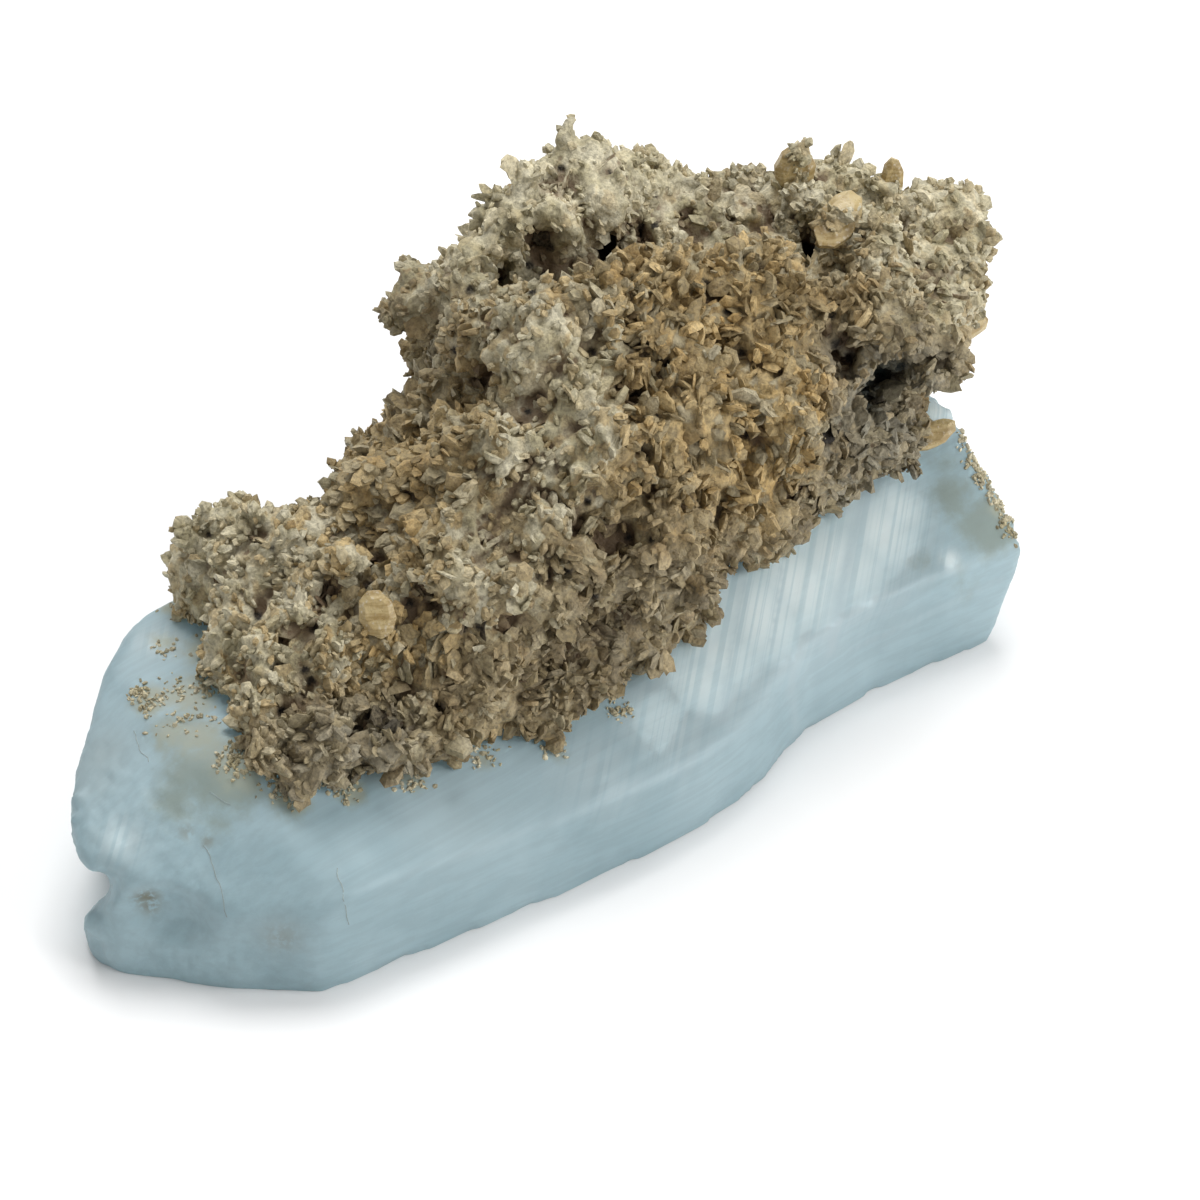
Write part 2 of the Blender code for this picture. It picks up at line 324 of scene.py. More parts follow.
slabSet = {
    "voxel": 0.85,
    "relaxPasses": 4,
    "swellSize": 11,
    "swell": 0.3,
    "chipSize": 1.4,
    "chip": 0.25,
    "breaks": (-4, 128, 8),  # where the broken ends start along X, and how far they take to come in
    "footFade": 3,
    "footHeight": 0.6,
    "smoothAngle": 40,
    "patchScale": 38.0,
    "fineScale": 900.0,
    "edgeScale": 260.0,
    "fibre": (0.06, 0.0013, 0.0013),
    "fibreTurn": 2,
    "streakScale": 0.8,
    "bump": (0.0004, 0.3),
    "milk": (0.53, 0.69, 0.74),
    "clear": (0.40, 0.56, 0.61),
    # painted sheen: the near white of the shining right face and of small painted highlights
    "paintedSheen": (0.92, 1.0, 1.0),
    "band": (0.58, 0.70, 0.74),
    "murk": (0.33, 0.40, 0.36),
    "film": (0.46, 0.49, 0.39),
    "grey": (0.46, 0.55, 0.56),
    "brownPatch": (0.24, 0.21, 0.13),
    "transmission": 0.5,
    "ior": 1.52,
    "roughness": (0.45, 0.62),
    "absorption": (0.62, 0.80, 0.86),
    "absorptionDensity": 7.0,
}

# Marks on the slab: pixel of the photograph, then radius in mm and strength
slabMarks = {
    # painted sheen on the shining right face, and painted highlights on the left end
    "paintedSheen": (
        (700, 680, 7, 0.8), (720, 650, 8, 0.9), (760, 615, 9, 1.0), (800, 585, 9, 1.0), (840, 560, 9, 1.0),
        (880, 530, 8, 1.0), (900, 510, 6, 0.9), (660, 720, 8, 0.5), (940, 412, 3.5, 1.0), (120, 840, 4, 0.5),
        (160, 640, 4, 0.5), (600, 770, 8, 0.25), (950, 560, 2, 0.9),
    ),
    "murk": (
        (955, 500, 7, 0.65), (985, 525, 7, 0.9), (925, 560, 6, 0.4), (940, 460, 5, 0.5), (205, 770, 9, 0.85),
        (235, 790, 6, 0.8), (290, 805, 5, 0.6), (350, 795, 4, 0.5), (965, 585, 6, 0.4), (180, 730, 7, 0.7),
        (175, 800, 6, 0.7), (215, 825, 5, 0.5),
    ),
    "film": (
        (185, 605, 5, 1.0), (210, 650, 6, 0.9), (190, 695, 7, 0.75), (240, 765, 6, 0.9), (290, 795, 4, 0.9),
        (165, 640, 4, 0.6), (200, 740, 6, 0.7), (150, 700, 4, 0.9), (350, 790, 3.5, 0.8), (275, 690, 6, 0.6),
        (1000, 510, 3, 0.8), (170, 735, 4, 0.7), (410, 780, 3, 0.7), (480, 760, 3, 0.6), (560, 755, 3, 0.5),
    ),
    # grey-brown patches low on the front face, mottled by fine noise
    "brownPatch": (
        (147, 897, 2.2, 1.0), (150, 905, 1.8, 0.8), (283, 938, 3.0, 0.35), (186, 832, 1.4, 0.5),
        (207, 842, 0.9, 0.8),
    ),
    "grey": ((100, 755, 6, 0.7), (95, 780, 5, 0.5), (280, 935, 4, 0.5), (455, 815, 8, 0.25)),
}
# Grey bands and lines in the bright face: the pixels that they pass, their half width in mm and strength
slabBands = (
    (((866, 490), (852, 545), (840, 600), (832, 650)), 1.5, 0.9),
    (((745, 585), (732, 650), (722, 720)), 0.9, 0.7),
    (((783, 560), (772, 640)), 0.7, 0.8),
    (((795, 650), (792, 690), (796, 730)), 1.3, 0.5),
    (((850, 650), (920, 618), (1000, 580)), 0.8, 0.5),
    (((640, 690), (700, 660), (730, 620)), 1.0, 0.35),
    (((812, 640), (860, 620), (905, 600)), 0.8, 0.4),
)
# Chips and bumps along its edges: pixel, radius and height in mm
slabLumps = (
    (78, 800, 1.3, 0.9), (76, 818, 0.9, 0.8), (92, 925, 2.0, 1.0), (96, 945, 2.2, -0.9), (112, 955, 2.5, 0.8),
    (150, 965, 4, -0.6), (236, 985, 3.5, 0.9), (265, 985, 3, -0.7), (130, 640, 3, 0.4), (1000, 470, 1.4, 0.8),
    (1010, 500, 1.4, -0.8), (1018, 520, 1.2, 0.8), (985, 450, 1.5, -0.7), (100, 880, 4, -1.5),
    (112, 885, 3, -1.2),
)
# Cracks that run down into the slab: the pixels that they pass, and their depth in mm
slabCracks = (
    (((205, 845), (213, 868), (220, 890), (228, 917)), 1.6),
    (((337, 868), (343, 890), (348, 925)), 1.2),
    (((210, 792), (222, 800), (230, 806)), 0.9),
    (((136, 730), (140, 750), (148, 762)), 1.0),
)


def markedAt(points, surface, marks):
    total = np.zeros(len(points))
    for x, y, radius, strength in marks:
        total = np.maximum(total, strength * hillAt(points, seenAt((x, y), surface), radius))
    return total


def trackAt(points, surface, line, width):  # 1 along a line of pixels, falling to 0 past that half width
    total = np.zeros(len(points))
    for (x0, y0), (x1, y1) in zip(line[:-1], line[1:]):
        for part in np.linspace(0, 1, 9):
            place = seenAt((x0 + (x1 - x0) * part, y0 + (y1 - y0) * part), surface)
            total = np.maximum(total, hillAt(points, place, width))
    return total


def slabMaterial():
    material, tree, shader = newMaterial("clearGypsum")
    place = objectPlace(tree)
    fibrePlace = objectPlace(tree, turn=(0, 0, slabSet["fibreTurn"]), scale=slabSet["fibre"])
    patch = cloud(tree, place, slabSet["patchScale"], 6.0, 0.6)
    fine = cloud(tree, place, slabSet["fineScale"], 3.0, 0.6)
    ragged = reckon(tree, "SUBTRACT", cloud(tree, place, slabSet["edgeScale"], 5.0, 0.65), 0.5)
    along = cloud(tree, fibrePlace, 1.0, 4.0, 0.6)
    colour = mixed(tree, spread(tree, patch, 0.3, 0.7), slabSet["clear"], slabSet["milk"])
    colour = mixed(tree, 1.0, colour, spread(tree, along, 0.38, 0.62, 0.94, 1.03), "MULTIPLY")
    lines = addNode(tree, "ShaderNodeTexNoise", noise_dimensions="1D")
    lines.inputs["Scale"].default_value = slabSet["streakScale"]
    lines.inputs["Detail"].default_value = 5.0
    tree.links.new(values(tree, "across"), lines.inputs["W"])
    streaks = spread(tree, lines.outputs["Fac"], 0.40, 0.52, 0.45, 1.0)
    # painted sheen: near white streaks where the right face shines
    paintedSheen = times(tree, values(tree, "paintedSheen"), streaks)
    colour = mixed(tree, paintedSheen, colour, slabSet["paintedSheen"])
    colour = mixed(tree, values(tree, "band"), colour, slabSet["band"])
    colour = mixed(tree, ringed(tree, "murk", ragged), colour, slabSet["murk"])
    colour = mixed(tree, ringed(tree, "film", ragged), colour, slabSet["film"])
    colour = mixed(tree, values(tree, "grey"), colour, slabSet["grey"])
    # grey-brown patches, mottled by fine noise
    mottle = times(tree, values(tree, "brownPatch"), spread(tree, fine, 0.35, 0.55))
    colour = mixed(tree, mottle, colour, slabSet["brownPatch"])
    tree.links.new(colour, shader.inputs["Base Color"])
    tree.links.new(spread(tree, patch, 0.35, 0.7, *slabSet["roughness"]), shader.inputs["Roughness"])
    height = reckon(tree, "ADD", times(tree, fine, 0.12), times(tree, along, 0.5))
    bumped(tree, shader, height, *slabSet["bump"])
    shader.inputs["Transmission Weight"].default_value = slabSet["transmission"]
    shader.inputs["IOR"].default_value = slabSet["ior"]
    volume = addNode(tree, "ShaderNodeVolumeAbsorption")
    volume.inputs["Color"].default_value = (*slabSet["absorption"], 1.0)
    volume.inputs["Density"].default_value = slabSet["absorptionDensity"]
    tree.links.new(volume.outputs["Volume"], tree.nodes["Material Output"].inputs["Volume"])
    return material


def ringed(tree, name, ragged):  # a mark whose edge is broken up by fine noise
    mark = values(tree, name)
    edge = reckon(tree, "ADD", mark, ragged)
    limit = reckon(tree, "MINIMUM", times(tree, mark, 2.0), 1.0)
    return times(tree, spread(tree, edge, 0.15, 0.75), limit)


def surfaceOf(thing):
    return BVHTree.FromObject(thing, bpy.context.evaluated_depsgraph_get())


def makeSlab():
    slab = mergedCopy("selenite_slab", "clearSlab")
    remesh(slab, slabSet["voxel"] * mm)
    relax(slab, slabSet["relaxPasses"])
    mesh = slab.data
    points = pointsOf(mesh)
    lift = np.clip((points[:, 2] - floorLevel) / (slabSet["footFade"] * mm), 0, 1)
    swell = wavesAt(points, slabSet["swellSize"] * mm, 0, 3) * slabSet["swell"]
    along = (points[:, 0] - corner.x) / mm
    left, right, fade = slabSet["breaks"]
    broken = np.clip((left - along) / fade, 0, 1) + np.clip((along - right) / fade, 0, 1)
    swell += wavesAt(points, slabSet["chipSize"] * mm, 2, 2) * slabSet["chip"] * broken
    surface = surfaceOf(slab)
    for x, y, radius, height in slabLumps:
        swell += height * hillAt(points, seenAt((x, y), surface), radius)
    points = points + normalsOf(mesh) * (swell * lift)[:, None] * mm
    points[points[:, 2] < floorLevel + slabSet["footHeight"] * mm, 2] = floorLevel
    setPoints(mesh, points)
    surface = surfaceOf(slab)
    setValues(mesh, **{name: markedAt(points, surface, marks) for name, marks in slabMarks.items()})
    band = np.zeros(len(points))
    for line, width, strength in slabBands:
        band = np.maximum(band, strength * trackAt(points, surface, line, width))
    first, last = (seenAt(spot, surface) for spot in (slabBands[0][0][0], slabBands[0][0][-1]))
    sideways = (last - first).cross(surface.find_nearest(first)[1]).normalized()
    setValues(mesh, band=band, across=(points - np.array(first)) @ np.array(sideways) / mm)
    makeActive(slab)
    bpy.ops.object.shade_smooth_by_angle(angle=math.radians(slabSet["smoothAngle"]))
    finishPiece(slab, slabMaterial(), ["selenite_slab"])
    return slab, surface


# Cleavage films inside the slab, which make its right half shine, and cracks

veilSet = {
    "depths": (0.7, 1.8),
    "thickness": 0.25,
    "least": 0.3,
    "ragged": 0.15,
    "raggedSize": 4,
    "silk": ((0.86, 0.97, 1.0), (0.95, 1.0, 1.0)),
    "roughness": 0.5,
}
crackSet = {
    "width": 0.12,
    "steps": 5,
    "wander": 0.7,
    "wanderSize": 2.2,
    "foot": 0.3,
    "shade": ((0.20, 0.24, 0.24), (0.34, 0.40, 0.40)),
    "roughness": 0.6,
}


def veilMaterial():
    material, tree, shader = newMaterial("cleavageFilm")
    silk = cloud(tree, objectPlace(tree, scale=(0.003, 0.02, 0.02)), 1.0, 4.0, 0.6)
    tree.links.new(mixed(tree, silk, *veilSet["silk"]), shader.inputs["Base Color"])
    shader.inputs["Roughness"].default_value = veilSet["roughness"]
    return material


def crackMaterial():
    material, tree, shader = newMaterial("crackShade")
    tone = cloud(tree, objectPlace(tree), 400.0, 3.0, 0.6)
    tree.links.new(mixed(tree, tone, *crackSet["shade"]), shader.inputs["Base Color"])
    shader.inputs["Roughness"].default_value = crackSet["roughness"]
    return material


def makeVeils(slab, surface):
    material = veilMaterial()
    for number, depth in enumerate(veilSet["depths"]):
        veil = duplicate(slab, f"cleavageFilm{number + 1}")
        mesh = veil.data
        points = pointsOf(mesh)
        # the films go where the slab's sheen is painted
        paintedSheen = markedAt(points, surface, slabMarks["paintedSheen"])
        ragged = veilSet["ragged"] * wavesAt(points, veilSet["raggedSize"] * mm, 7 + number, 3)
        keep = paintedSheen > veilSet["least"] + ragged
        setPoints(mesh, points - normalsOf(mesh) * depth * mm)
        makeActive(veil)
        startEdit(action="DESELECT")
        endEdit()
        mesh.vertices.foreach_set("select", ~keep)
        bpy.ops.object.mode_set(mode="EDIT")
        bpy.ops.mesh.delete(type="VERT")
        endEdit()
        wall = veil.modifiers.new("wall", "SOLIDIFY")
        wall.thickness = veilSet["thickness"] * mm
        applyAll(veil)
        finishPiece(veil, material)


def makeCracks(surface):
    points, faces = [], []
    half, steps = crackSet["width"] / 2 * mm, crackSet["steps"]
    for line, depth in slabCracks:
        rings = []
        for (x0, y0), (x1, y1) in zip(line[:-1], line[1:]):
            for part in np.linspace(0, 1, steps)[: steps if (x1, y1) == line[-1] else steps - 1]:
                spot = (x0 + (x1 - x0) * part, y0 + (y1 - y0) * part)
                place = seenAt(spot, surface)
                ahead = seenAt((spot[0] + (x1 - x0) * 0.1, spot[1] + (y1 - y0) * 0.1), surface)
                normal = surface.find_nearest(place)[1]
                side = normal.cross(ahead - place).normalized() * half
                wander = crackSet["wander"] * mm * noise.noise(place / (crackSet["wanderSize"] * mm))
                place = place + side.normalized() * wander
                top, foot = place + normal * half, place - normal * depth * mm
                thin = side * crackSet["foot"]
                rings.append((top - side, top + side, foot + thin, foot - thin))
        start = len(points)
        for ring in rings:
            points += [tuple(end) for end in ring]
        for number in range(len(rings) - 1):
            first = start + number * 4
            for edge in range(4):
                a, b = first + edge, first + (edge + 1) % 4
                faces += [(a, b, b + 4), (a, b + 4, a + 4)]
        last = start + (len(rings) - 1) * 4
        faces += [(start, start + 2, start + 1), (start, start + 3, start + 2)]
        faces += [(last, last + 1, last + 2), (last, last + 2, last + 3)]
    piece = meshObject("slabCracks", np.array(points), np.array(faces))
    turnOutward(piece)
    finishPiece(piece, crackMaterial())


def turnOutward(thing):
    makeActive(thing)
    startEdit()
    bpy.ops.mesh.normals_make_consistent(inside=False)
    endEdit()


# Crust

crustSet = {
    "bodyVoxel": 0.9,
    "skinVoxel": 0.65,
    "sink": 1.4,
    "clusters": 1300,
    "creaseDepth": 1.2,
    "creaseWidth": 1.7,
    "lobes": 240,
    "lobeDepth": 2.0,
    "lobeWidth": 3.0,
    "envelopeVoxel": 2.6,
    "grains": 15000,
    "flakes": 2000,
    "rough": ((2.6, 0.25), (1.25, 0.2)),
    "jitter": 0.06,
    "seed": 11,
    "plainTint": (0.25, 0.35, 0.2),  # bleach, rust and painted shade where no tint zone reaches
    "plainShare": 0.15,
    "tintWobble": (9, 5),
    "fanRoot": 2.6,
    "fanShare": 0.6,
    "tan": ((0.25, 0.18, 0.08), (0.37, 0.285, 0.145)),
    "cream": ((0.43, 0.38, 0.235), (0.66, 0.605, 0.44)),
    "orange": ((0.34, 0.225, 0.085), (0.50, 0.37, 0.175)),
    # painted shade: the grey the crust is painted where it lies in shade or faces away from the light
    "shadeGrey": ((0.16, 0.145, 0.105), (0.27, 0.25, 0.19)),
    # painted shade: the brown that low ground between the crystals is painted
    "deep": ((0.075, 0.045, 0.02), (0.21, 0.15, 0.09)),
    # painted shadow: the near black of the deepest recesses and of holes
    "shadowBlack": (0.014, 0.010, 0.006),
    "tealShade": (0.022, 0.045, 0.047),
    "sugarScale": 1500.0,
    "patchScale": 160.0,
    "poreScale": 620.0,
    "bump": (0.0005, 0.9),
    "ior": 1.52,
    "gloss": 0.35,
}
# Lengths in mm: fused and loose crystals' plain length, what bleach and the painted shade take off it, and
# their spread
bladeSet = {
    "fused": (3.9, 1.8, 0.9, 0.3),
    "loose": (3.2, 1.9, 1.0, 0.28),
    "flake": (2.6, 4.8),
    "width": (0.6, 0.95),
    "leastThick": 1.05,
    "fusedBelly": 0.36,
}

# Pieces of the crust: name, where each starts and ends along X in mm, and how many small blades it gets
crustPieces = (
    ("Lobe", -99, 34, 3600), ("Flank", 34, 58, 3700), ("Face", 58, 78, 4200), ("Middle", 78, 100, 4600),
    ("Crown", 100, 122, 4200), ("Block", 122, 299, 4100),
)
# Tints over the crust: centre and radius in mm, then bleach, rust and painted shade, which paints the crust
# greyer and darker where it lies in shade or faces away from the light
tintZones = (
    ((92, 60, 74), 22, 1.0, 0.05, 0.0),
    ((72, 62, 68), 16, 0.85, 0.1, 0.0),
    ((112, 56, 66), 14, 0.9, 0.1, 0.0),
    ((60, 58, 60), 11, 0.2, 0.35, 0.6),
    ((112, 28, 60), 8, 0.1, 0.35, 0.45),
    ((134, 42, 64), 17, 0.9, 0.1, 0.0),
    ((138, 26, 58), 14, 0.75, 0.1, 0.05),
    ((84, 36, 70), 12, 0.15, 0.55, 0.2),
    ((100, 28, 64), 14, 0.1, 0.6, 0.2),
    ((63, 28, 67), 9, 0.75, 0.1, 0.0),
    ((56, 18, 60), 9, 0.75, 0.1, 0.0),
    ((42, 14, 48), 10, 0.7, 0.1, 0.0),
    ((93, 8, 50), 11, 0.25, 0.75, 0.0),
    ((76, 10, 56), 11, 0.1, 0.6, 0.25),
    ((114, 12, 44), 14, 0.05, 0.2, 0.85),
    ((108, 12, 34), 12, 0.25, 0.1, 0.45),
    ((70, 8, 36), 18, 0.1, 0.25, 0.5),
    ((50, 8, 34), 12, 0.1, 0.3, 0.5),
    ((40, 34, 50), 13, 0.1, 0.5, 0.25),
    ((50, 42, 56), 11, 0.25, 0.35, 0.15),
    ((22, 52, 44), 13, 0.85, 0.2, 0.0),
    ((12, 34, 38), 11, 0.75, 0.3, 0.0),
    ((24, 30, 42), 12, 0.7, 0.35, 0.0),
    ((28, 22, 40), 8, 0.3, 0.6, 0.0),
    ((18, 16, 29), 12, 0.15, 0.15, 0.6),
    ((85, 75, 40), 30, 0.3, 0.35, 0.25),
    ((120, 60, 40), 24, 0.25, 0.35, 0.3),
)

# Holes that show in the crust: pixel of the photograph, then radius and depth in mm; their insides are also
# painted with shadow
crustHoles = (
    (539, 240, 1.7, 6), (550, 247, 1.3, 5), (613, 248, 1.5, 6), (640, 226, 1.3, 4), (655, 226, 1.2, 4),
    (530, 265, 1.3, 4), (543, 274, 1.2, 3), (532, 291, 1.2, 3), (588, 315, 1.0, 3), (592, 353, 1.5, 5),
    (528, 412, 1.1, 4), (634, 387, 1.3, 4), (643, 395, 1.2, 4), (656, 417, 0.9, 4), (667, 366, 1.3, 3),
    (705, 282, 1.0, 3), (816, 249, 1.3, 5), (806, 246, 1.0, 3), (832, 284, 1.1, 4), (832, 316, 1.2, 4),
    (728, 311, 1.2, 3), (710, 348, 1.3, 3), (742, 353, 1.4, 3), (836, 345, 1.6, 5), (850, 358, 1.8, 6),
    (864, 370, 2.0, 7), (866, 400, 1.8, 6), (880, 375, 1.8, 5), (900, 368, 1.6, 4), (710, 284, 1.0, 3),
    (749, 290, 1.1, 3), (802, 277, 1.2, 3), (828, 430, 1.2, 4), (829, 442, 1.0, 3), (875, 466, 0.8, 4),
    (694, 510, 1.0, 4), (747, 433, 1.1, 3), (621, 481, 1.1, 3), (640, 487, 1.1, 3), (640, 450, 1.0, 3),
    (588, 500, 1.2, 3), (629, 537, 1.2, 3), (651, 540, 1.1, 3), (568, 570, 1.3, 4), (547, 575, 1.1, 3),
    (595, 596, 1.2, 3), (478, 627, 1.2, 3), (369, 586, 1.2, 4), (411, 603, 1.2, 4), (324, 588, 1.2, 3),
    (314, 629, 1.2, 4), (305, 670, 1.4, 4), (311, 681, 1.3, 4), (345, 681, 1.2, 3), (282, 711, 1.3, 4),
    (369, 716, 1.3, 5), (380, 721, 1.4, 5), (391, 726, 1.3, 4), (358, 729, 1.2, 4), (394, 686, 1.0, 3),
    (438, 655, 1.2, 3), (464, 629, 1.2, 3), (441, 707, 1.2, 4), (258, 616, 1.3, 2), (278, 668, 1.2, 2),
    (209, 535, 1.0, 2), (233, 560, 1.0, 2), (272, 548, 0.9, 2), (562, 168, 1.1, 2), (610, 172, 0.8, 2),
    (655, 196, 0.9, 2), (600, 190, 0.9, 2), (470, 290, 1.2, 2), (443, 322, 1.3, 3), (455, 350, 1.2, 3),
)
# Long creases and undercuts: the pixels that they run through, then width and depth in mm
crustCreases = (
    (((500, 262), (520, 287), (506, 335), (498, 352), (478, 380)), 1.6, 3.0),
    (((545, 262), (585, 264), (612, 264), (650, 236), (690, 238)), 1.3, 2.5),
    (((832, 262), (832, 330), (846, 354), (890, 356), (936, 360)), 1.6, 3.5),
    (((396, 430), (440, 444), (470, 462)), 1.1, 2.2),
    (((402, 466), (440, 480), (455, 497)), 1.1, 2.2),
    (((372, 484), (412, 498), (450, 500)), 1.1, 2.0),
    (((350, 450), (385, 460), (400, 466)), 1.0, 1.5),
    (((418, 600), (440, 614), (480, 628), (522, 632)), 1.7, 3.5),
    (((522, 580), (548, 576), (572, 572), (600, 600)), 1.5, 2.5),
    (((600, 560), (630, 540), (662, 530)), 1.3, 2.2),
    (((327, 568), (316, 630), (303, 672), (312, 686)), 1.2, 3.0),
    (((280, 712), (304, 702), (345, 700), (372, 717), (402, 728), (432, 716), (452, 708)), 1.5, 3.5),
    (((402, 560), (411, 603), (432, 640)), 1.5, 2.5),
    (((662, 455), (640, 450), (622, 480), (590, 500)), 1.3, 2.2),
    (((668, 300), (676, 350), (660, 372)), 1.2, 2.0),
    (((730, 300), (745, 350), (760, 380)), 1.3, 2.0),
    (((560, 300), (590, 318), (600, 350)), 1.2, 2.0),
    (((225, 700), (245, 745), (300, 760)), 1.3, 1.8),
    (((560, 650), (600, 665), (650, 650)), 1.3, 1.8),
    (((700, 560), (740, 540), (790, 520)), 1.2, 1.8),
)
# Lumps that stand out of the crust: pixel, radius and height in mm
crustLumps = (
    (590, 205, 6, 1.2), (560, 225, 4, 1.2), (622, 222, 4, 1.2), (730, 200, 5, 1.0), (900, 310, 6, 1.6),
    (870, 240, 5, 1.2), (485, 320, 3, 1.4), (442, 366, 4, 1.4), (540, 350, 6, 1.0), (510, 500, 7, 1.2),
    (460, 560, 6, 1.4), (500, 590, 4, 1.4), (545, 530, 5, 1.0), (330, 650, 4, 1.6), (270, 640, 4, 1.2),
    (230, 560, 6, 1.0), (790, 450, 5, 1.2), (610, 290, 3, 1.2), (650, 470, 4, 1.0), (580, 400, 4, 1.0),
)
# Places where the outline is drawn in or out: pixel, radius in mm, then mm across and down the picture
outlineShifts = (
    (455, 192, 6, 3.4, 3.8), (432, 232, 5, 2.6, 2.2), (425, 262, 4, 2.0, 1.4), (500, 158, 4, 1.0, 2.6),
    (402, 348, 4, 3.2, 0.4), (386, 380, 4, 3.0, 0.8), (350, 404, 4, 3.0, 3.0), (328, 430, 4, 2.6, 3.0),
    (320, 492, 3, 1.2, 1.5), (530, 152, 3, 0.0, -1.8), (632, 145, 3, 0.0, -2.0), (700, 158, 5, 0.0, 2.2),
    (786, 150, 4, 0.0, 1.8), (825, 152, 3, 0.0, -1.6), (880, 168, 4, 0.0, 2.6), (935, 188, 5, 0.3, -2.2),
    (1000, 285, 5, -3.2, 0.0), (965, 375, 4, -2.8, 0.0), (952, 425, 4, -3.4, 0.0),
    (170, 558, 3, 0.0, -0.8), (210, 512, 4, 0.0, -1.4),
)
# Where the hollows look teal: pixel, radius in mm and strength, then how deep that reaches
tealZones = ((866, 376, 4, 1.0), (884, 368, 4, 0.8), (862, 398, 3.5, 0.8))
tealDepth = 8
flankZone = ((40, 37, 52), 15)  # where the blades lie like tiles: centre and radius in mm


def crustMaterial(name):
    material, tree, shader = newMaterial(name)
    place = objectPlace(tree)
    sugar = cloud(tree, place, crustSet["sugarScale"], 4.0, 0.65)
    patch = spread(tree, cloud(tree, place, crustSet["patchScale"], 4.0, 0.6), 0.35, 0.65)
    chance = values(tree, "chance")
    tan, cream, orange, shadeGrey = (
        mixed(tree, patch, *crustSet[name]) for name in ("tan", "cream", "orange", "shadeGrey")
    )
    nudge = times(tree, reckon(tree, "SUBTRACT", chance, 0.5), 0.7)
    grime = reckon(tree, "ADD", values(tree, "grime"), nudge)
    rust = reckon(tree, "ADD", values(tree, "rust"), nudge)
    bleach = reckon(tree, "SUBTRACT", values(tree, "bleach"), nudge)
    # painted shade: greyer and darker where the crust lies in shade or faces away from the light
    colour = mixed(tree, spread(tree, grime, 0.1, 0.8), tan, shadeGrey)
    colour = mixed(tree, spread(tree, rust, 0.25, 0.95), colour, orange)
    colour = mixed(tree, spread(tree, bleach, 0.2, 0.8), colour, cream)
    pores = addNode(tree, "ShaderNodeTexVoronoi", in_Scale=crustSet["poreScale"])
    tree.links.new(place, pores.inputs["Vector"])
    pore = spread(tree, pores.outputs["Distance"], 0.12, 0.42)
    some = spread(tree, cloud(tree, place, 260.0, 2.0, 0.5), 0.42, 0.60)
    pore = reckon(tree, "MAXIMUM", pore, some)
    colour = mixed(tree, 1.0, colour, spread(tree, chance, 0.0, 1.0, 0.8, 1.15), "MULTIPLY")
    colour = mixed(tree, 1.0, colour, spread(tree, sugar, 0.35, 0.62, 0.68, 1.1), "MULTIPLY")
    # painted shade: ground lying low against the smoothed crust, and small pores, are painted towards deep
    # brown, the deepest towards near black
    rise = values(tree, "rise")
    peak = reckon(tree, "ADD", rise, times(tree, sugar, 0.6))
    peak = reckon(tree, "SUBTRACT", peak, times(tree, reckon(tree, "SUBTRACT", 1.0, pore), 0.8))
    deep = mixed(tree, values(tree, "bleach"), *crustSet["deep"])
    colour = mixed(tree, spread(tree, peak, -0.5, 0.95), deep, colour)
    colour = mixed(tree, spread(tree, rise, -3.4, -1.4), crustSet["shadowBlack"], colour)
    # painted shadow: holes painted near black along the line of sight into them, their edge frayed by noise
    frayed = times(tree, reckon(tree, "SUBTRACT", sugar, 0.5), 1.2)
    holeShadow = reckon(tree, "ADD", values(tree, "holeShadow"), frayed)
    colour = mixed(tree, spread(tree, holeShadow, 0.35, 0.95), colour, crustSet["shadowBlack"])
    teal = times(tree, values(tree, "teal"), 0.8)
    colour = mixed(tree, teal, colour, crustSet["tealShade"])
    tree.links.new(colour, shader.inputs["Base Color"])
    texture = reckon(tree, "ADD", sugar, times(tree, pore, 0.5))
    tree.links.new(spread(tree, sugar, 0.3, 0.7, 0.5, 0.85), shader.inputs["Roughness"])
    bumped(tree, shader, texture, *crustSet["bump"])
    shader.inputs["IOR"].default_value = crustSet["ior"]
    shader.inputs["Specular IOR Level"].default_value = crustSet["gloss"]
    return material


def tintsAt(points):
    shares = np.tile(np.array(crustSet["plainTint"]) * crustSet["plainShare"], (len(points), 1))
    total = np.full(len(points), crustSet["plainShare"])
    size, height = crustSet["tintWobble"]
    wobble = np.stack([wavesAt(points, size * mm, seed) for seed in (1, 2, 3)], 1) * height * mm
    for centre, radius, bleach, rust, grime in tintZones:
        weight = hill(points + wobble, centre, radius)
        shares += weight[:, None] * np.array([bleach, rust, grime])
        total += weight
    return (shares / total[:, None]).T


def tunnelAt(points, spot, surface, radius, depth):  # 1 along the line of sight into a hole, 0 away from it
    mouth = seenAt(spot, surface)
    if mouth is None:
        return np.zeros(len(points))
    eye = bpy.context.scene.camera.location
    way = np.array((mouth - eye).normalized())
    fromMouth = points - np.array(mouth)
    inward = fromMouth @ way
    away = np.linalg.norm(fromMouth - inward[:, None] * way, axis=1) / (radius * mm)
    return np.exp(-hillFall * away * away) * ((inward > 0.3 * mm) & (inward < (depth * 1.6 + 2) * mm))


def holesAt(points, surface):
    total = np.zeros(len(points))
    for x, y, radius, depth in crustHoles:
        total = np.maximum(total, tunnelAt(points, (x, y), surface, radius, depth))
    return total


def tealAt(points, surface):
    total = np.zeros(len(points))
    for x, y, radius, strength in tealZones:
        total = np.maximum(total, strength * tunnelAt(points, (x, y), surface, radius, tealDepth))
    return total


def creaseAt(points, seeds, width):  # 1 on the borders between the seeds' own ground, 0 past that width
    tree = treeOf(seeds)
    near = [tree.find_n(point, 2) for point in points]
    gap = np.array([pair[1][2] - pair[0][2] for pair in near])
    crease = 1 - np.clip(gap / (width * mm), 0, 1)
    return crease * crease


